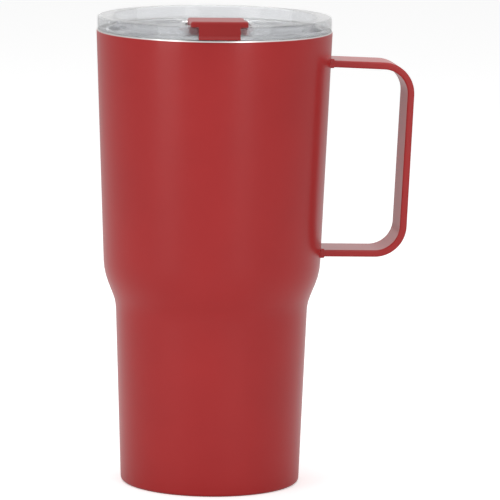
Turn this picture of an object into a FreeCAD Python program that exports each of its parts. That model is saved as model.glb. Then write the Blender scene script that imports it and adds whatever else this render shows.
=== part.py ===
import FreeCAD, Part
import math
import os
import Sketcher

# Vacuum insulated travel mug with a flat-strip handle, a push-on clear lid and a flip tab.
# Origin: centre of the foot ring, on the surface that the mug stands on. +Z up, handle along +X.
# The flip tab points along -Y and the whole lid set is turned about Z by lid_turn.

# Driving dimensions, in millimetres, degrees where the name says turn or taper.
DIMENSIONS = [
    # steel body
    ("mug_height", 184.0),
    ("mouth_radius", 47.4),
    ("shoulder_top_height", 85.7),
    ("shoulder_top_radius", 43.66),
    ("shoulder_top_blend", 26.0),
    ("shoulder_low_height", 73.6),
    ("shoulder_low_radius", 38.82),
    ("shoulder_low_blend", 18.0),
    ("foot_radius", 36.2),
    ("foot_edge", 1.5),
    ("foot_ring_width", 3.2),
    ("shell_wall", 0.6),
    ("liner_wall", 0.5),
    ("vacuum_gap", 2.2),
    ("mouth_land", 4.1),
    ("neck_length", 26.0),
    ("lip_setback", 0.2),
    ("lip_edge", 0.4),
    ("liner_floor", 7.0),
    ("liner_corner", 4.5),
    ("liner_seam", 12.5),
    # base
    ("base_recess", 3.0),
    ("port_radius", 1.5),
    ("port_bead_radius", 3.4),
    ("port_bead_drop", 0.9),
    ("base_cover_wall", 0.8),
    ("cover_tape_thickness", 1.0),
    ("cover_tape_inner", 20.0),
    ("cover_tape_outer", 30.0),
    ("cover_clearance", 0.3),
    # inside the vacuum
    ("foil_thickness", 0.15),
    ("foil_clearance", 0.05),
    ("foil_margin", 6.0),
    ("getter_offset", 18.0),
    ("getter_radius", 5.0),
    ("getter_drop", 1.6),
    ("getter_wall", 0.4),
    # handle
    ("handle_width", 19.0),
    ("handle_thickness", 2.8),
    ("handle_reach", 33.3),
    ("handle_lean", 3.1),
    ("handle_drop", 13.0),
    ("handle_top_rise", 1.6),
    ("handle_span", 78.7),
    ("handle_low_rise", 0.5),
    ("handle_corner", 12.8),
    ("handle_edge", 0.7),
    ("weld_leg", 0.5),
    # lid
    ("lid_turn", -4.6),
    ("lid_setback", 0.4),
    ("rim_height", 5.5),
    ("rim_width", 6.0),
    ("rim_edge", 0.8),
    ("rim_slope", 1.5),
    ("recess_depth", 4.5),
    ("lid_floor", 2.2),
    ("plug_depth", 13.5),
    ("plug_wall", 2.3),
    ("plug_clearance", 0.8),
    ("groove_height", 3.6),
    ("groove_depth", 1.1),
    ("groove_lift", 3.0),
    ("gasket_clearance", 0.08),
    ("fin_thickness", 0.7),
    ("drink_setback", 5.3),
    ("drink_width", 16.0),
    ("drink_depth", 7.0),
    ("drink_corner", 3.0),
    ("vent_setback", 10.0),
    ("vent_radius", 1.3),
    # hinge
    ("pin_setback", 10.0),
    ("pin_drop", 1.9),
    ("pin_radius", 1.0),
    ("pin_clearance", 0.05),
    ("cheek_clearance", 0.4),
    ("cheek_thickness", 1.8),
    ("cheek_flare", 1.6),
    ("cheek_heel", 3.2),
    ("cheek_drop", 0.3),
    # flip tab
    ("tab_width", 22.6),
    ("tab_barrel", 2.2),
    ("tab_front_setback", 2.2),
    ("tab_floor_gap", 0.5),
    ("tab_rim_gap", 0.1),
    ("tab_wall", 1.8),
    ("crest_height", 2.3),
    ("crest_dip", 2.0),
    ("lip_width", 16.3),
    ("lip_gap", 0.3),
    ("lip_thickness", 1.3),
    ("lip_ridge", 1.1),
    ("lip_ridge_height", 1.5),
    ("lip_clearance", 0.6),
    # seals
    ("seal_width", 19.5),
    ("seal_depth", 9.6),
    ("seal_thickness", 1.4),
    ("seal_gap", 0.1),
    ("seal_fit", 0.35),
    ("seal_plug", 1.7),
    ("seal_taper", 12.0),
    ("seal_stem", 2.0),
    ("seal_stem_length", 2.2),
    ("vent_pad", 2.0),
    ("vent_plug", 1.2),
    ("vent_stem", 1.0),
    ("boss_wall", 1.0),
]

# Sizes that follow from the driving ones: what fits together takes its place from one value.
DERIVED = {
    "neck_radius": "( mouth_radius - mouth_land )",
    "neck_bottom": "( mug_height - neck_length )",
    "handle_top_reach": "( mouth_radius + handle_reach )",
    "handle_low_reach": "( mouth_radius + handle_reach - handle_lean )",
    "handle_top_height": "( mug_height - handle_drop )",
    "handle_low_height": "( mug_height - handle_drop - handle_span )",
    "lid_radius": "( mouth_radius - lid_setback )",
    "rim_inner_radius": "( lid_radius - rim_width )",
    "recess_radius": "( rim_inner_radius - rim_slope )",
    "tab_front": "( recess_radius - tab_front_setback )",
    "drink_distance": "( tab_front - drink_setback )",
    "vent_distance": "( drink_distance - vent_setback )",
    "pin_distance": "( vent_distance - pin_setback )",
}

PLANES = {"top": "XY_Plane", "side": "XZ_Plane", "cross": "YZ_Plane"}

doc = FreeCAD.newDocument("travel_mug")
sheet = doc.addObject("Spreadsheet::Sheet", "Dims")
for row, (alias, value) in enumerate(DIMENSIONS, start=1):
    sheet.set(f"A{row}", alias.replace("_", " "))
    sheet.set(f"B{row}", str(value))
    sheet.setAlias(f"B{row}", alias)
doc.recompute()


def named(text):
    """Turn the words of an expression that are sheet aliases into references to the sheet."""
    words = text.replace("(", " ( ").replace(")", " ) ").split()
    aliases = {alias for alias, value in DIMENSIONS}
    found = []
    for word in words:
        if word in DERIVED:
            found.append(named(DERIVED[word]))
        else:
            found.append(f"Dims.{word}" if word in aliases else word)
    return " ".join(found)


def value_of(text):
    """The number that an expression on the sheet gives now."""
    result = sheet.evalExpression(named(text))
    return float(getattr(result, "Value", result))


def on_line(low_radius, low_height, high_radius, high_height, height):
    """Radius at a height on the straight wall between two corners."""
    share = f"( ( {height} ) - ( {low_height} ) ) / ( ( {high_height} ) - ( {low_height} ) )"
    return f"( {low_radius} ) + ( ( {high_radius} ) - ( {low_radius} ) ) * {share}"


def lower_wall(inset, height):
    """Radius of the lower cone at a height, set in from the outer surface."""
    radius = on_line("foot_radius", "0", "shoulder_low_radius", "shoulder_low_height", height)
    return f"{radius} - ( {inset} )"


def upper_wall(inset, height):
    """Radius of the upper cone at a height, set in from the outer surface."""
    radius = on_line("shoulder_top_radius", "shoulder_top_height", "mouth_radius", "mug_height", height)
    return f"{radius} - ( {inset} )"


# Heights and radii that several pieces share, as expressions on the sheet.
SHELL_TOP = "mug_height - liner_wall"
LINER_SET = "shell_wall + vacuum_gap"
LINER_INSET = "shell_wall + vacuum_gap + liner_wall"
RING_INNER = "foot_radius - foot_ring_width"
RIM_TOP = "mug_height + rim_height"
RECESS = "mug_height + rim_height - recess_depth"
LID_UNDERSIDE = "mug_height + rim_height - recess_depth - lid_floor"
PLUG_RADIUS = "neck_radius - plug_clearance"
PLUG_BOTTOM = "mug_height - plug_depth"
GROOVE_BOTTOM = "mug_height - plug_depth + groove_lift"
GROOVE_TOP = "mug_height - plug_depth + groove_lift + groove_height"
PIN_HEIGHT = "mug_height + rim_height - pin_drop"
TAB_UNDERSIDE = "mug_height + rim_height - recess_depth + tab_floor_gap"
CREST_UNDERSIDE = "mug_height + rim_height + tab_rim_gap"
CREST_TOP = "mug_height + rim_height + crest_height"
LIP_BACK = "lid_radius + lip_gap"
LIP_FRONT = "lid_radius + lip_gap + lip_thickness"
SEAL_UNDERSIDE = "mug_height + rim_height - recess_depth + seal_gap"
SEAL_TOP = "mug_height + rim_height - recess_depth + seal_gap + seal_thickness"
CHEEK_INNER = "tab_width / 2 + cheek_clearance"


def new_body(label):
    """An empty body whose label names its file."""
    body = doc.addObject("PartDesign::Body", label)
    body.Label = label
    return body


def new_sketch(body, plane, name, lift=None):
    """A sketch on one of the body's origin planes, lifted along the plane's normal by lift."""
    sketch = body.newObject("Sketcher::SketchObject", name)
    role = PLANES[plane]
    origin_plane = next(item for item in body.Origin.OriginFeatures if item.Role == role)
    sketch.AttachmentSupport = (origin_plane, [""])
    sketch.MapMode = "FlatFace"
    if lift:
        sketch.setExpression("AttachmentOffset.Base.z", named(lift))
    return sketch


def bind(sketch, constraint, expression):
    """Add a sized constraint and tie it to the sheet."""
    index = sketch.addConstraint(constraint)
    sketch.setExpression(f"Constraints[{index}]", named(expression))


def draw_outline(sketch, corners):
    """Closed outline through corners given as (x, y) or (x, y, blend radius) expressions."""
    spots = [FreeCAD.Vector(value_of(corner[0]), value_of(corner[1]), 0) for corner in corners]
    count = len(corners)
    starts = []
    ends = []
    arcs = {}
    for index, corner in enumerate(corners):
        spot = spots[index]
        if len(corner) == 2:
            starts.append(spot)
            ends.append(spot)
            continue
        back = (spots[index - 1] - spot).normalize()
        ahead = (spots[(index + 1) % count] - spot).normalize()
        radius = value_of(corner[2])
        half = back.getAngle(ahead) / 2
        setback = radius / math.tan(half)
        middle = spot + (back + ahead).normalize() * (radius / math.sin(half) - radius)
        ends.append(spot + back * setback)
        starts.append(spot + ahead * setback)
        arcs[index] = Part.Arc(ends[index], middle, starts[index])
    lines = []
    for index in range(count):
        line = Part.LineSegment(starts[index], ends[(index + 1) % count])
        lines.append(sketch.addGeometry(line, False))
    for index, corner in enumerate(corners):
        before = lines[index - 1]
        after = lines[index]
        if index not in arcs:
            sketch.addConstraint(Sketcher.Constraint("Coincident", before, 2, after, 1))
            bind(sketch, Sketcher.Constraint("DistanceX", -1, 1, after, 1, spots[index].x), corner[0])
            bind(sketch, Sketcher.Constraint("DistanceY", -1, 1, after, 1, spots[index].y), corner[1])
            continue
        arc = sketch.addGeometry(arcs[index], False)
        point = sketch.addGeometry(Part.Point(spots[index]), True)
        bind(sketch, Sketcher.Constraint("DistanceX", -1, 1, point, 1, spots[index].x), corner[0])
        bind(sketch, Sketcher.Constraint("DistanceY", -1, 1, point, 1, spots[index].y), corner[1])
        sketch.addConstraint(Sketcher.Constraint("PointOnObject", point, 1, before))
        sketch.addConstraint(Sketcher.Constraint("PointOnObject", point, 1, after))
        gap_to_start = (sketch.getPoint(arc, 1) - ends[index]).Length
        gap_to_end = (sketch.getPoint(arc, 2) - ends[index]).Length
        first = 1 if gap_to_start < gap_to_end else 2
        sketch.addConstraint(Sketcher.Constraint("Tangent", before, 2, arc, first))
        sketch.addConstraint(Sketcher.Constraint("Tangent", arc, 3 - first, after, 1))
        bind(sketch, Sketcher.Constraint("Radius", arc, value_of(corner[2])), corner[2])


def draw_circle(sketch, x, y, radius):
    """Circle placed and sized from the sheet."""
    centre = FreeCAD.Vector(value_of(x), value_of(y), 0)
    circle = Part.Circle(centre, FreeCAD.Vector(0, 0, 1), value_of(radius))
    index = sketch.addGeometry(circle, False)
    bind(sketch, Sketcher.Constraint("DistanceX", -1, 1, index, 3, centre.x), x)
    bind(sketch, Sketcher.Constraint("DistanceY", -1, 1, index, 3, centre.y), y)
    bind(sketch, Sketcher.Constraint("Radius", index, value_of(radius)), radius)


def box_corners(x, y, width, depth, corner=None):
    """Corners of a rectangle about a centre, with rounded corners if a radius is given."""
    corners = []
    for side, end in ((-1, -1), (1, -1), (1, 1), (-1, 1)):
        spot = (f"( {x} ) + {side} * ( {width} ) / 2", f"( {y} ) + {end} * ( {depth} ) / 2")
        corners.append(spot + ((corner,) if corner else ()))
    return corners


def revolve(body, sketch, name, cut=False):
    """Turn an outline round the sketch's vertical axis, as solid or as a cut."""
    feature = body.newObject("PartDesign::Groove" if cut else "PartDesign::Revolution", name)
    feature.Profile = sketch
    feature.ReferenceAxis = (sketch, ["V_Axis"])
    feature.Angle = 360
    return feature


def extrude(body, sketch, name, length, cut=False, symmetric=False, taper=None, flip=False):
    """Pad or pocket a sketch by a length bound to the sheet."""
    feature = body.newObject("PartDesign::Pocket" if cut else "PartDesign::Pad", name)
    feature.Profile = sketch
    feature.SideType = "Symmetric" if symmetric else "One side"
    feature.Reversed = flip
    feature.setExpression("Length", named(length))
    if taper:
        feature.setExpression("TaperAngle", named(taper))
    return feature


def round_edges(body, name, radius, wanted):
    """Fillet the tip's edges that the test wanted picks."""
    doc.recompute()
    base = body.Tip
    picked = [f"Edge{i}" for i, edge in enumerate(base.Shape.Edges, start=1) if wanted(edge)]
    if not picked:
        raise RuntimeError(f"{body.Label}: no edge found for {name}")
    feature = body.newObject("PartDesign::Fillet", name)
    feature.Base = (base, picked)
    feature.setExpression("Radius", named(radius))
    return feature


def is_ring(radius, height):
    """Test for a full circle about Z of this radius at this height."""
    def wanted(edge):
        curve = edge.Curve
        if not hasattr(curve, "Radius") or len(edge.Vertexes) > 1:
            return False
        near = abs(curve.Radius - value_of(radius)) < 0.01
        return near and abs(edge.BoundBox.ZMax - value_of(height)) < 0.01
    return wanted


def turned(label, outline):
    """A body that is one outline turned about Z."""
    body = new_body(label)
    sketch = new_sketch(body, "side", f"{label}_outline")
    draw_outline(sketch, outline)
    revolve(body, sketch, f"{label}_turned")
    return body


def turn_with_lid(body):
    """Place a piece of the lid set, turned about the mug's axis."""
    body.setExpression("Placement.Rotation.Angle", named("lid_turn"))


# ---------------------------------------------------------------- steel body


def make_outer_shell():
    """Drawn outer wall, from the foot ring over the shoulder to the mouth."""
    return turned("outer_shell", [
        (RING_INNER, "0"),
        ("foot_radius", "0", "foot_edge"),
        ("shoulder_low_radius", "shoulder_low_height", "shoulder_low_blend"),
        ("shoulder_top_radius", "shoulder_top_height", "shoulder_top_blend"),
        (upper_wall("0", SHELL_TOP), SHELL_TOP),
        (upper_wall("shell_wall", SHELL_TOP), SHELL_TOP),
        ("shoulder_top_radius - shell_wall", "shoulder_top_height", "shoulder_top_blend - shell_wall"),
        ("shoulder_low_radius - shell_wall", "shoulder_low_height", "shoulder_low_blend + shell_wall"),
        (lower_wall("shell_wall", "shell_wall"), "shell_wall", "foot_edge - shell_wall"),
        (RING_INNER, "shell_wall"),
    ])


def make_outer_base():
    """Dished pressing whose skirt is welded inside the foot ring, with the evacuation port."""
    skirt_inner = f"{RING_INNER} - shell_wall"
    return turned("outer_base", [
        ("port_radius", "base_recess"),
        (skirt_inner, "base_recess"),
        (skirt_inner, "0"),
        (RING_INNER, "0"),
        (RING_INNER, "base_recess + shell_wall", "shell_wall"),
        ("port_radius", "base_recess + shell_wall"),
    ])


def make_port_seal():
    """Solder glass that fills the port and spreads as a bead below it."""
    return turned("port_seal", [
        ("0", "base_recess - port_bead_drop"),
        ("port_bead_radius - port_bead_drop", "base_recess - port_bead_drop"),
        ("port_bead_radius", "base_recess"),
        ("port_radius", "base_recess"),
        ("port_radius", "base_recess + shell_wall"),
        ("0", "base_recess + shell_wall"),
    ])


def make_base_cover():
    """Disc that hides the port, set in the recess."""
    edge = f"{RING_INNER} - shell_wall - cover_clearance"
    top = "base_recess - cover_tape_thickness"
    return turned("base_cover", [
        ("0", f"{top} - base_cover_wall"),
        (edge, f"{top} - base_cover_wall"),
        (edge, top),
        ("0", top),
    ])


def make_cover_tape():
    """Foam ring that holds the disc to the base."""
    return turned("cover_tape", [
        ("cover_tape_inner", "base_recess - cover_tape_thickness"),
        ("cover_tape_outer", "base_recess - cover_tape_thickness"),
        ("cover_tape_outer", "base_recess"),
        ("cover_tape_inner", "base_recess"),
    ])


def liner_upper_radius(inset, height):
    """Radius of the liner's upper cone, which runs from the shoulder to the neck."""
    low = f"shoulder_top_radius - ( {LINER_INSET} )"
    radius = on_line(low, "shoulder_top_height", "neck_radius", "neck_bottom", height)
    return f"{radius} - ( {inset} )"


def make_inner_liner():
    """Inner wall: seam with the dished bottom, shoulder, straight neck and lip over the shell."""
    top_blend = "shoulder_top_blend"
    low_blend = "shoulder_low_blend"
    lip_radius = f"{upper_wall('lip_setback', SHELL_TOP)}"
    return turned("inner_liner", [
        (lower_wall(LINER_INSET, "liner_seam"), "liner_seam"),
        (lower_wall(LINER_SET, "liner_seam"), "liner_seam"),
        (f"shoulder_low_radius - ( {LINER_SET} )", "shoulder_low_height", low_blend),
        (f"shoulder_top_radius - ( {LINER_SET} )", "shoulder_top_height", top_blend),
        ("neck_radius + liner_wall", "neck_bottom", top_blend),
        ("neck_radius + liner_wall", SHELL_TOP),
        (lip_radius, SHELL_TOP),
        (lip_radius, "mug_height"),
        ("neck_radius", "mug_height", "lip_edge"),
        ("neck_radius", "neck_bottom", top_blend),
        (f"shoulder_top_radius - ( {LINER_INSET} )", "shoulder_top_height", top_blend),
        (f"shoulder_low_radius - ( {LINER_INSET} )", "shoulder_low_height", low_blend),
    ])


def make_liner_base():
    """Dished bottom of the drink space, butt welded to the liner at the seam."""
    return turned("liner_base", [
        ("0", "liner_floor - liner_wall"),
        (lower_wall(LINER_SET, "liner_floor"), "liner_floor - liner_wall", "liner_corner + liner_wall"),
        (lower_wall(LINER_SET, "liner_seam"), "liner_seam"),
        (lower_wall(LINER_INSET, "liner_seam"), "liner_seam"),
        (lower_wall(LINER_INSET, "liner_floor"), "liner_floor", "liner_corner"),
        ("0", "liner_floor"),
    ])


def make_foils():
    """Copper wraps on the straight cones of the liner, below and above the shoulder."""
    outer = "foil_clearance + foil_thickness"
    low_start = "liner_seam + foil_margin"
    low_end = "shoulder_low_height - foil_margin"
    turned("lower_foil", [
        (lower_wall(f"{LINER_SET} - foil_clearance", low_start), low_start),
        (lower_wall(f"{LINER_SET} - ( {outer} )", low_start), low_start),
        (lower_wall(f"{LINER_SET} - ( {outer} )", low_end), low_end),
        (lower_wall(f"{LINER_SET} - foil_clearance", low_end), low_end),
    ])
    high_start = "shoulder_top_height + foil_margin"
    high_end = "neck_bottom - foil_margin"
    turned("upper_foil", [
        (liner_upper_radius("0 - liner_wall - foil_clearance", high_start), high_start),
        (liner_upper_radius(f"0 - liner_wall - ( {outer} )", high_start), high_start),
        (liner_upper_radius(f"0 - liner_wall - ( {outer} )", high_end), high_end),
        (liner_upper_radius("0 - liner_wall - foil_clearance", high_end), high_end),
    ])


def make_getter():
    """Getter pellet in a small cup welded under the liner's bottom, mouth down."""
    underside = "liner_floor - liner_wall"
    holder = new_body("getter_holder")
    sketch = new_sketch(holder, "top", "holder_circle", f"{underside} - getter_drop")
    draw_circle(sketch, "getter_offset", "0", "getter_radius")
    extrude(holder, sketch, "holder_block", "getter_drop")
    sketch = new_sketch(holder, "top", "holder_bore", f"{underside} - getter_wall")
    draw_circle(sketch, "getter_offset", "0", "getter_radius - getter_wall")
    extrude(holder, sketch, "holder_hollow", "getter_drop", cut=True)
    pellet = new_body("getter_pellet")
    sketch = new_sketch(pellet, "top", "pellet_circle", f"{underside} - getter_drop + getter_wall")
    draw_circle(sketch, "getter_offset", "0", "getter_radius - getter_wall")
    extrude(pellet, sketch, "pellet_disc", "getter_drop - 2 * getter_wall")


# ---------------------------------------------------------------- handle


def handle_outline():
    """Side view of the strip, its ends running on into the mug's wall."""
    inside = "mouth_radius - 4 * shell_wall - handle_thickness"
    top = "handle_top_height"
    low = "handle_low_height"
    outer = "handle_corner"
    inner = "handle_corner - handle_thickness"
    return [
        (inside, f"{top} + handle_top_rise"),
        ("handle_top_reach", top, outer),
        ("handle_low_reach", low, outer),
        (inside, f"{low} + handle_low_rise"),
        (inside, f"{low} + handle_low_rise + handle_thickness"),
        ("handle_low_reach - handle_thickness", f"{low} + handle_thickness", inner),
        ("handle_top_reach - handle_thickness", f"{top} - handle_thickness", inner),
        (inside, f"{top} + handle_top_rise - handle_thickness"),
    ]


def cut_to_wall(body):
    """Cut a body back to the outer surface of the upper cone and the shoulder."""
    sketch = new_sketch(body, "side", f"{body.Label}_wall_line")
    draw_outline(sketch, [
        ("0", "shoulder_low_height"),
        ("shoulder_low_radius", "shoulder_low_height"),
        ("shoulder_top_radius", "shoulder_top_height", "shoulder_top_blend"),
        ("mouth_radius", "mug_height"),
        ("0", "mug_height"),
    ])
    revolve(body, sketch, f"{body.Label}_wall_cut", cut=True)


def make_handle():
    """Flat strip bent into a C, its long edges rounded and its ends fitted to the wall."""
    body = new_body("handle_band")
    sketch = new_sketch(body, "side", "band_side_view")
    draw_outline(sketch, handle_outline())
    extrude(body, sketch, "band", "handle_width", symmetric=True)
    half = value_of("handle_width") / 2
    def on_a_face(edge):
        box = edge.BoundBox
        flat = box.YLength < 0.01 and abs(abs(box.YMax) - half) < 0.01
        return flat and box.XMax > value_of("mouth_radius")
    round_edges(body, "band_edges", "handle_edge", on_a_face)
    cut_to_wall(body)


def make_weld(label, middle):
    """Weld fillet round one end of the strip, whose centre meets the wall at height middle."""
    body = new_body(label)
    reach = f"{upper_wall('0', middle)} + weld_leg"
    across = "handle_width + 2 * weld_leg"
    tall = "handle_thickness + 2 * weld_leg"
    sketch = new_sketch(body, "cross", f"{label}_face")
    draw_outline(sketch, box_corners("0", middle, across, tall, "weld_leg"))
    extrude(body, sketch, f"{label}_block", reach)
    def at_the_front(edge):
        return edge.BoundBox.XMin > value_of(reach) - 0.01
    round_edges(body, f"{label}_slope", "weld_leg * 0.9", at_the_front)
    sketch = new_sketch(body, "side", f"{label}_band_slot")
    draw_outline(sketch, handle_outline())
    extrude(body, sketch, f"{label}_slot", "handle_width", cut=True, symmetric=True)
    cut_to_wall(body)


# ---------------------------------------------------------------- lid


def make_lid_body():
    """Clear moulding: rim on the mouth, recessed floor, plug skirt, cheeks and openings."""
    body = new_body("lid_body")
    sketch = new_sketch(body, "side", "lid_section")
    plug_inner = f"{PLUG_RADIUS} - plug_wall"
    draw_outline(sketch, [
        ("0", RECESS),
        ("0", LID_UNDERSIDE),
        (plug_inner, LID_UNDERSIDE, "lid_floor / 2"),
        (plug_inner, PLUG_BOTTOM),
        (PLUG_RADIUS, PLUG_BOTTOM),
        (PLUG_RADIUS, GROOVE_BOTTOM),
        (f"{PLUG_RADIUS} - groove_depth", GROOVE_BOTTOM),
        (f"{PLUG_RADIUS} - groove_depth", GROOVE_TOP),
        (PLUG_RADIUS, GROOVE_TOP),
        (PLUG_RADIUS, "mug_height"),
        ("lid_radius", "mug_height"),
        ("lid_radius", RIM_TOP, "rim_edge"),
        ("rim_inner_radius", RIM_TOP, "rim_edge"),
        ("recess_radius", RECESS, "rim_edge"),
    ])
    revolve(body, sketch, "lid_turned")

    sketch = new_sketch(body, "top", "cheek_plan", f"{RECESS} - lid_floor / 2")
    for side in ("1", "-1"):
        draw_outline(sketch, [
            (f"{side} * ( {CHEEK_INNER} )", "cheek_heel - pin_distance"),
            (f"{side} * ( {CHEEK_INNER} + cheek_thickness )", "cheek_heel - pin_distance"),
            (f"{side} * ( {CHEEK_INNER} + cheek_thickness + cheek_flare )", "0 - recess_radius"),
            (f"{side} * ( {CHEEK_INNER} + cheek_flare )", "0 - recess_radius"),
        ])
    extrude(body, sketch, "cheeks", "recess_depth + lid_floor / 2 - cheek_drop")

    def at_the_heel(edge):
        box = edge.BoundBox
        heel = value_of("cheek_heel - pin_distance")
        top = value_of(f"{RIM_TOP} - cheek_drop")
        return abs(box.YMax - heel) < 0.01 and box.YLength < 0.01 and box.ZMin > top - 0.01
    round_edges(body, "cheek_heels", "pin_drop - 2 * cheek_drop", at_the_heel)

    sketch = new_sketch(body, "top", "drink_opening_plan", RIM_TOP)
    centre = "0 - drink_distance"
    draw_outline(sketch, box_corners("0", centre, "drink_width", "drink_depth", "drink_corner"))
    extrude(body, sketch, "drink_opening", "recess_depth + lid_floor + rim_height", cut=True)
    sketch = new_sketch(body, "top", "vent_plan", RIM_TOP)
    draw_circle(sketch, "0", "0 - vent_distance", "vent_radius")
    extrude(body, sketch, "vent_hole", "recess_depth + lid_floor + rim_height", cut=True)
    sketch = new_sketch(body, "cross", "pin_bore_circle")
    draw_circle(sketch, "0 - pin_distance", PIN_HEIGHT, "pin_radius")
    extrude(body, sketch, "pin_bore", "2 * recess_radius", cut=True, symmetric=True)
    turn_with_lid(body)


def make_lid_gasket():
    """Silicone ring in the skirt's groove, with two fins that reach the neck."""
    body = new_body("lid_gasket")
    sketch = new_sketch(body, "side", "gasket_section")
    back = f"{PLUG_RADIUS} - groove_depth"
    fin_tip = "neck_radius - gasket_clearance"
    fin_low = f"{GROOVE_BOTTOM} + fin_thickness"
    fin_high = f"{GROOVE_TOP} - fin_thickness"
    draw_outline(sketch, [
        (back, GROOVE_BOTTOM),
        (PLUG_RADIUS, GROOVE_BOTTOM),
        (fin_tip, fin_low),
        (fin_tip, f"{fin_low} + fin_thickness / 2"),
        (PLUG_RADIUS, f"{fin_low} + fin_thickness / 2"),
        (PLUG_RADIUS, f"{fin_high} - fin_thickness"),
        (fin_tip, f"{fin_high} - fin_thickness / 2"),
        (fin_tip, fin_high),
        (PLUG_RADIUS, GROOVE_TOP),
        (back, GROOVE_TOP),
    ])
    revolve(body, sketch, "gasket_turned")
    turn_with_lid(body)


def make_hinge_pin():
    """Steel pin through both cheeks."""
    body = new_body("hinge_pin")
    sketch = new_sketch(body, "cross", "pin_circle")
    draw_circle(sketch, "0 - pin_distance", PIN_HEIGHT, "pin_radius")
    extrude(body, sketch, "pin", f"2 * ( {CHEEK_INNER} + cheek_thickness )", symmetric=True)
    turn_with_lid(body)


# ---------------------------------------------------------------- flip tab


def make_flip_tab():
    """Red tab: barrel on the pin, block over the openings, crest on the rim and finger lip."""
    body = new_body("flip_tab")
    heel = "tab_barrel - pin_distance"
    sketch = new_sketch(body, "cross", "tab_side_view")
    draw_outline(sketch, [
        (heel, f"{PIN_HEIGHT} - tab_barrel", "tab_barrel * 0.95"),
        (heel, f"{PIN_HEIGHT} + tab_barrel", "tab_barrel * 0.95"),
        ("0 - tab_front + tab_wall", f"{CREST_TOP} - crest_dip", "lip_width / 4"),
        ("0 - rim_inner_radius - rim_edge * 4", CREST_TOP, "rim_edge * 2"),
        (f"0 - ( {LIP_FRONT} )", CREST_TOP, "lip_thickness * 0.8"),
        (f"0 - ( {LIP_FRONT} )", CREST_UNDERSIDE),
        ("0 - tab_front", CREST_UNDERSIDE),
        ("0 - tab_front", TAB_UNDERSIDE),
        (f"0 - pin_distance - tab_barrel * 2", TAB_UNDERSIDE),
    ])
    extrude(body, sketch, "tab_block", "tab_width", symmetric=True)

    def at_crest_corner(edge):
        box = edge.BoundBox
        upright = box.XLength < 0.01 and box.YLength < 0.01
        return upright and abs(box.YMin + value_of(LIP_FRONT)) < 0.01
    round_edges(body, "crest_corners", "lip_thickness * 0.8", at_crest_corner)

    sketch = new_sketch(body, "cross", "lip_side_view")
    lip_bottom = "mug_height + lip_clearance"
    draw_outline(sketch, [
        (f"0 - ( {LIP_BACK} )", f"{CREST_TOP} - lip_thickness"),
        (f"0 - ( {LIP_BACK} )", lip_bottom),
        (f"0 - ( {LIP_FRONT} + lip_ridge )", lip_bottom, "lip_ridge / 4"),
        (f"0 - ( {LIP_FRONT} )", f"{lip_bottom} + lip_ridge_height", "lip_ridge / 4"),
        (f"0 - ( {LIP_FRONT} )", f"{CREST_TOP} - lip_thickness"),
    ])
    extrude(body, sketch, "finger_lip", "lip_width", symmetric=True)

    sketch = new_sketch(body, "top", "hollow_plan", TAB_UNDERSIDE)
    hollow_back = "pin_distance + tab_barrel + tab_wall"
    hollow_front = "drink_distance - seal_depth / 2 - boss_wall"
    middle = f"0 - ( {hollow_back} + {hollow_front} ) / 2"
    span = f"{hollow_front} - ( {hollow_back} )"
    draw_outline(sketch, box_corners("0", middle, "tab_width - 2 * tab_wall", span, "boss_wall"))
    depth = "recess_depth - tab_floor_gap - tab_wall + crest_height - crest_dip"
    extrude(body, sketch, "underside_hollow", depth, cut=True, flip=True)
    sketch = new_sketch(body, "top", "vent_boss_plan", f"{SEAL_TOP}")
    draw_circle(sketch, "0", "0 - vent_distance", "vent_pad + boss_wall")
    extrude(body, sketch, "vent_boss", f"{CREST_TOP} - crest_dip - tab_wall / 2 - ( {SEAL_TOP} )")

    sketch = new_sketch(body, "top", "seal_seat_plan", TAB_UNDERSIDE)
    centre = "0 - drink_distance"
    draw_outline(sketch, box_corners("0", centre, "seal_width", "seal_depth", "drink_corner"))
    extrude(body, sketch, "seal_seat", f"{SEAL_TOP} - ( {TAB_UNDERSIDE} )", cut=True, flip=True)
    sketch = new_sketch(body, "top", "seal_stem_bore", SEAL_TOP)
    draw_circle(sketch, "0", centre, "seal_stem")
    extrude(body, sketch, "stem_bore", "seal_stem_length", cut=True, flip=True)
    sketch = new_sketch(body, "top", "vent_stem_bore", SEAL_TOP)
    draw_circle(sketch, "0", "0 - vent_distance", "vent_stem")
    extrude(body, sketch, "vent_bore", "vent_plug", cut=True, flip=True)
    sketch = new_sketch(body, "cross", "hinge_bore_circle")
    draw_circle(sketch, "0 - pin_distance", PIN_HEIGHT, "pin_radius + pin_clearance")
    extrude(body, sketch, "hinge_bore", "2 * tab_width", cut=True, symmetric=True)
    turn_with_lid(body)


def make_spout_seal():
    """Silicone plug: pad in the tab's seat, tapered plug in the drink opening, stem in the tab."""
    body = new_body("spout_seal")
    centre = "0 - drink_distance"
    sketch = new_sketch(body, "top", "seal_plan", SEAL_UNDERSIDE)
    draw_outline(sketch, box_corners("0", centre, "seal_width", "seal_depth", "drink_corner"))
    extrude(body, sketch, "seal_pad", "seal_thickness")
    sketch = new_sketch(body, "top", "plug_plan", SEAL_UNDERSIDE)
    width = "drink_width - 2 * seal_fit"
    depth = "drink_depth - 2 * seal_fit"
    draw_outline(sketch, box_corners("0", centre, width, depth, "drink_corner - seal_fit"))
    extrude(body, sketch, "plug", "seal_plug", taper="0 - seal_taper", flip=True)
    sketch = new_sketch(body, "top", "stem_plan", SEAL_TOP)
    draw_circle(sketch, "0", centre, "seal_stem")
    extrude(body, sketch, "stem", "seal_stem_length")
    turn_with_lid(body)


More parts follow.
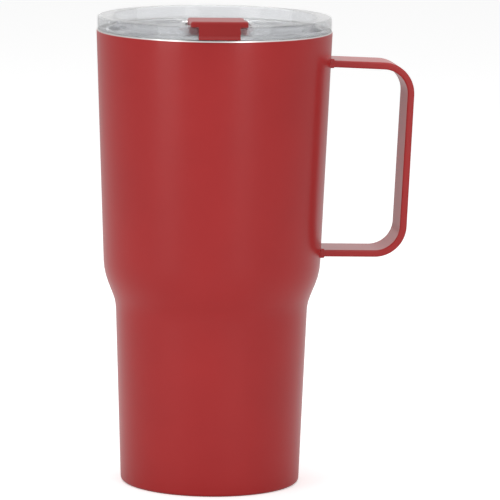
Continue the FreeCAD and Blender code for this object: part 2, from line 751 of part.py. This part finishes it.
def make_vent_seal():
    """Silicone pip for the vent hole, its stem in the tab's boss."""
    body = new_body("vent_seal")
    centre = "0 - vent_distance"
    sketch = new_sketch(body, "top", "vent_pad_plan", SEAL_UNDERSIDE)
    draw_circle(sketch, "0", centre, "vent_pad")
    extrude(body, sketch, "vent_disc", "seal_thickness")
    sketch = new_sketch(body, "top", "vent_plug_plan", SEAL_UNDERSIDE)
    draw_circle(sketch, "0", centre, "vent_radius - seal_fit")
    extrude(body, sketch, "vent_pip", "vent_plug", flip=True)
    sketch = new_sketch(body, "top", "vent_stem_plan", SEAL_TOP)
    draw_circle(sketch, "0", centre, "vent_stem")
    extrude(body, sketch, "vent_stem_rod", "vent_plug")
    turn_with_lid(body)


def check_document():
    """Stop if any object failed or any piece has no sound shape."""
    for item in doc.Objects:
        states = [state for state in item.State if state in ("Invalid", "Error")]
        if states:
            raise RuntimeError(f"{item.Label}: {states}")
    for body in doc.findObjects("PartDesign::Body"):
        if body.Shape.isNull() or not body.Shape.isValid() or not body.Shape.Solids:
            raise RuntimeError(f"{body.Label}: no valid solid")


make_outer_shell()
make_outer_base()
make_port_seal()
make_base_cover()
make_cover_tape()
make_inner_liner()
make_liner_base()
make_foils()
make_getter()
make_handle()
make_weld("upper_weld", "handle_top_height + handle_top_rise - handle_thickness / 2")
make_weld("lower_weld", "handle_low_height + handle_low_rise + handle_thickness / 2")
make_lid_body()
make_lid_gasket()
make_hinge_pin()
make_flip_tab()
make_spout_seal()
make_vent_seal()
doc.recompute()
check_document()

os.makedirs("parts", exist_ok=True)
for body in doc.findObjects("PartDesign::Body"):
    body.Shape.exportStep(f"parts/{body.Label}.step")
    print(f"{body.Label}: {len(body.Shape.Solids)} solid, {body.Shape.Volume:.1f} mm3")
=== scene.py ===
import math

import bpy
import numpy as np
from mathutils import Matrix, Vector


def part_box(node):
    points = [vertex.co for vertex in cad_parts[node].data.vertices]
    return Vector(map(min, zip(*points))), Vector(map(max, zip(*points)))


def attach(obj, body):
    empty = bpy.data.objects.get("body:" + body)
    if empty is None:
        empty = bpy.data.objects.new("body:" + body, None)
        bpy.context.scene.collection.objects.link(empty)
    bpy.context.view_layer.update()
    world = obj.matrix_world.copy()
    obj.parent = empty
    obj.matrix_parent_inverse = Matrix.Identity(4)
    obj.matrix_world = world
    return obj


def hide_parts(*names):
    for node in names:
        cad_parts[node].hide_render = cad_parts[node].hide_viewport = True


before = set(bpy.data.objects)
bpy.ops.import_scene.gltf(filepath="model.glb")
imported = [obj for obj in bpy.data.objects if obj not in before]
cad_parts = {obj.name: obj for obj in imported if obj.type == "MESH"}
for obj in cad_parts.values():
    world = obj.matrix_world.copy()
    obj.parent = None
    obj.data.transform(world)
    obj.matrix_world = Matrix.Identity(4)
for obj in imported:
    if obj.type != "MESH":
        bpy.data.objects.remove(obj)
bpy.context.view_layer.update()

MM = 0.001
TURN_STEPS = 160
ARC_STEP = math.radians(7.5)

# ------------------------------------------------------------------ shader maths


class Sock:
    """Wraps a node socket, so that an expression on values adds its Math nodes."""

    def __init__(self, shader, socket):
        self.shader = shader
        self.socket = socket

    def _math(self, operation, *values):
        return self.shader.node("ShaderNodeMath", {"operation": operation}, dict(enumerate(values)))

    def __add__(self, other):
        return self._math("ADD", self, other)

    def __mul__(self, other):
        return self._math("MULTIPLY", self, other)

    __radd__ = __add__
    __rmul__ = __mul__


class Shader:
    """One node material, built from a Principled surface."""

    def __init__(self, name, constants):
        self.material = bpy.data.materials.new(name)
        self.material.use_nodes = True
        self.tree = self.material.node_tree
        self.surface = self.tree.nodes["Principled BSDF"]
        for key, value in constants.items():
            self.surface.inputs[key].default_value = value

    def node(self, kind, settings=None, inputs=None, output=0):
        """Any node: its settings first, then values or links for its sockets."""
        made = self.tree.nodes.new(kind)
        for key, value in (settings or {}).items():
            setattr(made, key, value)
        for key, value in (inputs or {}).items():
            socket = made.inputs[key]
            if isinstance(value, Sock):
                self.tree.links.new(value.socket, socket)
            else:
                socket.default_value = value
        return Sock(self, made.outputs[output])

    def place(self, scale=(1, 1, 1)):
        """Object coordinates, stretched by scale."""
        spot = self.node("ShaderNodeTexCoord", output="Object")
        return self.node("ShaderNodeMapping", {}, {"Vector": spot, "Scale": scale})

    def noise(self, scale, detail=3.0, stretch=(1, 1, 1)):
        inputs = {"Vector": self.place(stretch), "Scale": scale, "Detail": detail}
        return self.node("ShaderNodeTexNoise", {}, inputs)

    def blend(self, factor, first, second):
        """Colour between first and second."""
        inputs = {"Factor": factor, 6: first, 7: second}
        return self.node("ShaderNodeMix", {"data_type": "RGBA"}, inputs, output=2)

    def feed(self, key, value):
        self.tree.links.new(value.socket, self.surface.inputs[key])

    def bump(self, height, distance, strength=1.0):
        inputs = {"Height": height, "Distance": distance, "Strength": strength}
        self.feed("Normal", self.node("ShaderNodeBump", {}, inputs))


def rgba(red, green, blue):
    return (red, green, blue, 1.0)


def coat_finish():
    """Glossy red powder coat: slight orange peel, faint cloudiness in colour and gloss."""
    shader = Shader("red_coat", {"Specular IOR Level": 0.30, "Coat Weight": 0.12, "Coat Roughness": 0.12})
    cloud = shader.noise(38.0)
    peel = shader.noise(1400.0, 1.0)
    shader.feed("Base Color", shader.blend(cloud, rgba(0.335, 0.0115, 0.012), rgba(0.395, 0.0160, 0.0160)))
    shader.feed("Roughness", 0.27 + 0.1 * cloud)
    shader.bump(peel, 0.00002, 0.5)
    return shader.material


def tab_finish():
    """Satin red moulded plastic with fine spark-eroded grain."""
    shader = Shader("red_moulding", {"Specular IOR Level": 0.35})
    cloud = shader.noise(60.0)
    grain = shader.noise(5200.0, 2.0)
    shader.feed("Base Color", shader.blend(cloud, rgba(0.25, 0.006, 0.006), rgba(0.30, 0.010, 0.010)))
    shader.feed("Roughness", 0.33 + 0.08 * grain)
    shader.bump(grain, 0.00001, 0.4)
    return shader.material


def clear_finish():
    """Clear polished plastic, a touch blue, with faint flow waves from moulding."""
    shader = Shader("clear_moulding", {"Transmission Weight": 0.85, "IOR": 1.5, "Alpha": 0.5,
                                       "Base Color": rgba(0.93, 0.955, 1.0)})
    wave = shader.noise(55.0, 1.0)
    shader.feed("Roughness", 0.015 + 0.02 * wave)
    shader.bump(wave, 0.00008, 0.35)
    return shader.material


def steel_finish(name, stretch, tone=0.6, rough=0.26):
    """Steel brushed round the axis: fine lines, streaked gloss and a faint warm cast."""
    shader = Shader(name, {"Metallic": 1.0})
    line = shader.noise(900.0, 3.0, stretch)
    cloud = shader.noise(25.0)
    darker = rgba(tone, tone * 0.985, tone * 0.96)
    lighter = rgba(tone + 0.1, tone + 0.09, tone + 0.08)
    shader.feed("Base Color", shader.blend(cloud, darker, lighter))
    shader.feed("Roughness", rough + 0.16 * line)
    shader.bump(line, 0.00001, 0.35)
    return shader.material


def silicone_finish():
    """Milky silicone: soft sheen, dusty mottling."""
    shader = Shader("milky_silicone", {"Subsurface Weight": 0.25, "Subsurface Radius": (0.004, 0.004, 0.004)})
    dust = shader.noise(420.0)
    shader.feed("Base Color", shader.blend(dust, rgba(0.62, 0.62, 0.60), rgba(0.74, 0.74, 0.73)))
    shader.feed("Roughness", 0.42 + 0.15 * dust)
    shader.bump(dust, 0.00002, 0.3)
    return shader.material


def copper_finish():
    """Copper foil, creased by hand wrapping."""
    shader = Shader("copper_foil", {"Metallic": 1.0})
    crease = shader.noise(160.0, 6.0, (1, 1, 0.35))
    shader.feed("Base Color", shader.blend(crease, rgba(0.62, 0.25, 0.13), rgba(0.80, 0.40, 0.24)))
    shader.feed("Roughness", 0.18 + 0.2 * crease)
    shader.bump(crease, 0.0003, 0.7)
    return shader.material


def plain_finish(name, low, high, rough, scale, metal=0.0):
    """Matt granular finish between two tones."""
    shader = Shader(name, {"Metallic": metal})
    grain = shader.noise(scale, 4.0)
    shader.feed("Base Color", shader.blend(grain, rgba(*low), rgba(*high)))
    shader.feed("Roughness", rough + 0.15 * grain)
    shader.bump(grain, 0.00005, 0.5)
    return shader.material


ROUND_LINES = (0.03, 0.03, 1.0)
COAT = coat_finish()
CLEAR = clear_finish()
TAB = tab_finish()
SILICONE = silicone_finish()
WALL_STEEL = steel_finish("wall_steel", ROUND_LINES, 0.74, 0.22)
PIN_STEEL = steel_finish("pin_steel", (0.2, 1.0, 1.0), 0.68, 0.14)
DISC_STEEL = steel_finish("disc_steel", (1.0, 0.02, 1.0), 0.55, 0.3)
COPPER = copper_finish()
FOAM = plain_finish("foam_tape", (0.5, 0.5, 0.48), (0.66, 0.66, 0.64), 0.75, 900.0)
GETTER = plain_finish("sintered_getter", (0.05, 0.05, 0.055), (0.12, 0.12, 0.12), 0.6, 1500.0, 0.6)
SOLDER = plain_finish("solder_glass", (0.03, 0.05, 0.03), (0.08, 0.10, 0.07), 0.15, 300.0)

FINISHES = {
    "outer_shell": COAT, "handle_band": COAT, "upper_weld": COAT, "lower_weld": COAT,
    "outer_base": WALL_STEEL, "base_cover": DISC_STEEL, "inner_liner": WALL_STEEL, "liner_base": WALL_STEEL,
    "getter_holder": PIN_STEEL, "hinge_pin": PIN_STEEL, "lid_body": CLEAR, "flip_tab": TAB,
    "lid_gasket": SILICONE, "spout_seal": SILICONE, "vent_seal": SILICONE,
    "upper_foil": COPPER, "lower_foil": COPPER, "cover_tape": FOAM,
    "getter_pellet": GETTER, "port_seal": SOLDER,
}


def finish_cad_nodes():
    """Every CAD node takes its own finish."""
    for name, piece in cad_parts.items():
        piece.data.materials.clear()
        piece.data.materials.append(FINISHES[name])


finish_cad_nodes()

# ------------------------------------------------------------------ turned shapes


def blended(corners):
    """Points of a closed outline: each corner (r, z) is kept, and (r, z, blend) becomes an arc
    tangent to both its sides, stepped by equal angles."""
    spots = [np.array(corner[:2], float) for corner in corners]
    points = []
    for index, corner in enumerate(corners):
        spot = spots[index]
        if len(corner) == 2 or corner[2] <= 0:
            points.append(spot)
            continue
        back = spots[index - 1] - spot
        ahead = spots[(index + 1) % len(corners)] - spot
        back /= np.linalg.norm(back)
        ahead /= np.linalg.norm(ahead)
        half = math.acos(np.clip(back @ ahead, -1, 1)) / 2
        middle = (back + ahead) / np.linalg.norm(back + ahead)
        centre = spot + middle * corner[2] / math.sin(half)
        start = spot + back * corner[2] / math.tan(half) - centre
        end = spot + ahead * corner[2] / math.tan(half) - centre
        sweep = math.atan2(start[0] * end[1] - start[1] * end[0], start @ end)
        steps = max(3, int(abs(sweep) / ARC_STEP) + 1)
        for share in np.linspace(0, 1, steps + 1):
            angle = sweep * share
            turn = np.array([[math.cos(angle), -math.sin(angle)], [math.sin(angle), math.cos(angle)]])
            points.append(centre + turn @ start)
    return np.array(points)


def mesh_from(name, verts, faces, finish, body, sharp=28.0):
    """New piece from points in metres, smooth except at edges sharper than sharp degrees."""
    mesh = bpy.data.meshes.new(name)
    mesh.from_pydata([tuple(v) for v in verts], [], [tuple(f) for f in faces])
    mesh.validate()
    mesh.polygons.foreach_set("use_smooth", [True] * len(mesh.polygons))
    mesh.set_sharp_from_angle(angle=math.radians(sharp))
    mesh.materials.append(finish)
    piece = bpy.data.objects.new(name, mesh)
    bpy.context.collection.objects.link(piece)
    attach(piece, body)
    return piece


def split_long(points, longest):
    """Straight runs of a closed outline cut so that none is longer than longest."""
    cut = []
    for index, point in enumerate(points):
        following = points[(index + 1) % len(points)]
        pieces = max(1, int(math.ceil(np.linalg.norm(following - point) / longest)))
        cut.extend(point + (following - point) * share / pieces for share in range(pieces))
    return np.array(cut)


def turned(name, corners, finish, body, longest):
    """Closed outline (r, z) in mm carried round Z: point (r cos t, r sin t, z) on a grid of
    outline steps by angle t. An outline must stay off the axis."""
    outline = split_long(blended(corners), longest) * MM
    angles = np.linspace(0, 2 * math.pi, TURN_STEPS, endpoint=False)
    radius = outline[:, 0][:, None]
    height = np.repeat(outline[:, 1][:, None], TURN_STEPS, axis=1)
    verts = np.stack([radius * np.cos(angles), radius * np.sin(angles), height], axis=2).reshape(-1, 3)
    rows = len(outline)
    row = np.arange(rows)[:, None]
    column = np.arange(TURN_STEPS)[None, :]
    next_row = (row + 1) % rows
    next_column = (column + 1) % TURN_STEPS
    grid = [row * TURN_STEPS + column, row * TURN_STEPS + next_column,
            next_row * TURN_STEPS + next_column, next_row * TURN_STEPS + column]
    quads = np.stack(grid, axis=2).reshape(-1, 4)
    around = np.roll(outline, -1, axis=0)
    area = np.sum(outline[:, 0] * around[:, 1] - around[:, 0] * outline[:, 1])
    if area < 0:
        quads = quads[:, ::-1]
    return mesh_from(name, verts, quads.tolist(), finish, body)


# Sizes of the steel body, in mm. The height of its upper edge comes from the frame.
SHELL_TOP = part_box("outer_shell")[1].z / MM
SHOULDER_TOP = (43.66, 85.7, 26.0)
SHOULDER_LOW = (38.82, 73.6, 18.0)
FOOT = 36.2
WALL = 0.6
FOOT_EDGE = 1.5
RING = 33.0
MOUTH = 47.38
MOUTH_EDGE = 0.2
INNER_FOOT = FOOT - WALL + 0.02
LONGEST_STEP = 4.0


def shell_piece():
    """Outer wall: foot ring, lower cone, shoulder, upper cone and mouth, with its inner face."""
    corners = [
        (RING, 0), (FOOT, 0, FOOT_EDGE), SHOULDER_LOW, SHOULDER_TOP, (MOUTH, SHELL_TOP, MOUTH_EDGE),
        (MOUTH - WALL, SHELL_TOP),
        (SHOULDER_TOP[0] - WALL, SHOULDER_TOP[1], SHOULDER_TOP[2] - WALL),
        (SHOULDER_LOW[0] - WALL, SHOULDER_LOW[1], SHOULDER_LOW[2] + WALL),
        (INNER_FOOT, WALL, FOOT_EDGE - WALL), (RING, WALL),
    ]
    piece = turned("coated_shell", corners, COAT, "mug", LONGEST_STEP)
    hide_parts("outer_shell")


shell_piece()

# ------------------------------------------------------------------ stage, light and camera


FLOOR_REACH = 6.0
FLOOR_GLOW = 0.42
BACKDROP = 1.0
PLAIN_LIGHT = 0.55


def stage_floor():
    """Pale floor that stays white to the eye and keeps the mug's soft shadow."""
    mesh = bpy.data.meshes.new("floor")
    corners = [(x * FLOOR_REACH, y * FLOOR_REACH, 0) for x, y in ((-1, -1), (1, -1), (1, 1), (-1, 1))]
    mesh.from_pydata(corners, [], [(0, 1, 2, 3)])
    floor = bpy.data.objects.new("floor", mesh)
    bpy.context.collection.objects.link(floor)
    shader = Shader("pale_floor", {"Base Color": rgba(0.93, 0.93, 0.93), "Roughness": 0.9,
                                   "Specular IOR Level": 0.0, "Emission Color": rgba(1, 1, 1)})
    ray = shader.tree.nodes.new("ShaderNodeLightPath")
    seen = Sock(shader, ray.outputs["Is Camera Ray"])
    glow = shader.node("ShaderNodeEmission", {}, {"Color": rgba(1, 1, 1), "Strength": FLOOR_GLOW})
    none = shader.node("ShaderNodeEmission", {}, {"Color": rgba(0, 0, 0), "Strength": 0.0})
    shown = shader.node("ShaderNodeMixShader", {}, {0: seen, 1: none, 2: glow})
    total = shader.node("ShaderNodeAddShader", {}, {0: Sock(shader, shader.surface.outputs[0]), 1: shown})
    shader.tree.links.new(total.socket, shader.tree.nodes["Material Output"].inputs["Surface"])
    mesh.materials.append(shader.material)


def soft_world():
    """White backdrop for the eye, mirrors and clear pieces; plain light for the rest."""
    world = bpy.data.worlds.new("studio")
    bpy.context.scene.world = world
    world.use_nodes = True
    tree = world.node_tree
    background = tree.nodes["Background"]
    background.inputs["Color"].default_value = rgba(1, 1, 1)
    background.inputs["Strength"].default_value = PLAIN_LIGHT
    white = tree.nodes.new("ShaderNodeBackground")
    white.inputs["Color"].default_value = rgba(1, 1, 1)
    white.inputs["Strength"].default_value = BACKDROP
    path = tree.nodes.new("ShaderNodeLightPath")
    most = tree.nodes.new("ShaderNodeMath")
    most.operation = "MAXIMUM"
    tree.links.new(path.outputs["Is Camera Ray"], most.inputs[0])
    tree.links.new(path.outputs["Is Transmission Ray"], most.inputs[1])
    shiny = tree.nodes.new("ShaderNodeMath")
    shiny.operation = "MAXIMUM"
    tree.links.new(most.outputs[0], shiny.inputs[0])
    tree.links.new(path.outputs["Is Glossy Ray"], shiny.inputs[1])
    mix = tree.nodes.new("ShaderNodeMixShader")
    tree.links.new(shiny.outputs[0], mix.inputs[0])
    tree.links.new(background.outputs[0], mix.inputs[1])
    tree.links.new(white.outputs[0], mix.inputs[2])
    tree.links.new(mix.outputs[0], tree.nodes["World Output"].inputs["Surface"])


def soft_box(name, place, aim, width, height, power):
    """Area lamp of a size in metres, turned towards aim."""
    lamp = bpy.data.lights.new(name, "AREA")
    lamp.shape = "RECTANGLE"
    lamp.size = width
    lamp.size_y = height
    lamp.energy = power
    holder = bpy.data.objects.new(name, lamp)
    bpy.context.collection.objects.link(holder)
    holder.location = place
    holder.rotation_euler = (Vector(aim) - Vector(place)).to_track_quat("-Z", "Y").to_euler()


VIEW_TURN = math.radians(-7.0)
CAMERA_PITCH = math.radians(8.758)
CAMERA_YAW = math.radians(0.521)
CAMERA_ROLL = math.radians(0.740)
CAMERA_DISTANCE = 1.6865
CAMERA_HEIGHT = 0.3544
LENS = 303.8


def from_view(x, y, z):
    """A point given right of, behind and above the mug as the camera sees it, in the row frame."""
    c, s = math.cos(VIEW_TURN), math.sin(VIEW_TURN)
    return (x * c - y * s, x * s + y * c, z)


def light_the_mug():
    """Two tall boxes, in front to the left and to the right, and a top box."""
    middle = (0, 0, 0.1)
    soft_box("left_box", from_view(-0.75, -0.75, 0.35), middle, 0.45, 1.0, 3.2)
    soft_box("right_box", from_view(0.55, -1.0, 0.35), middle, 0.35, 1.0, 2.6)
    soft_box("top_box", from_view(0.0, 0.1, 1.1), middle, 1.0, 1.0, 5.0)


def set_camera():
    """Camera in front of the mug and higher than its lid, looking a little down, with a long lens."""
    pitch, yaw, roll = CAMERA_PITCH, CAMERA_YAW, CAMERA_ROLL
    ahead = Vector((math.sin(yaw) * math.cos(pitch), math.cos(yaw) * math.cos(pitch), -math.sin(pitch)))
    right = Vector((math.cos(yaw), -math.sin(yaw), 0))
    up = right.cross(ahead)
    right_rolled = right * math.cos(roll) + up * math.sin(roll)
    up_rolled = up * math.cos(roll) - right * math.sin(roll)
    axes = [Vector(from_view(*axis)) for axis in (right_rolled, up_rolled, -ahead)]
    lens = bpy.data.cameras.new("camera")
    lens.sensor_width = 36.0
    lens.lens = LENS
    lens.clip_end = 20.0
    camera = bpy.data.objects.new("camera", lens)
    bpy.context.collection.objects.link(camera)
    matrix = Matrix([[axes[c][r] for c in range(3)] + [0] for r in range(3)] + [[0, 0, 0, 1]])
    matrix.translation = Vector(from_view(0, -CAMERA_DISTANCE, CAMERA_HEIGHT))
    camera.matrix_world = matrix
    bpy.context.scene.camera = camera


stage_floor()
soft_world()
light_the_mug()
set_camera()
bpy.context.scene.view_settings.view_transform = "Standard"
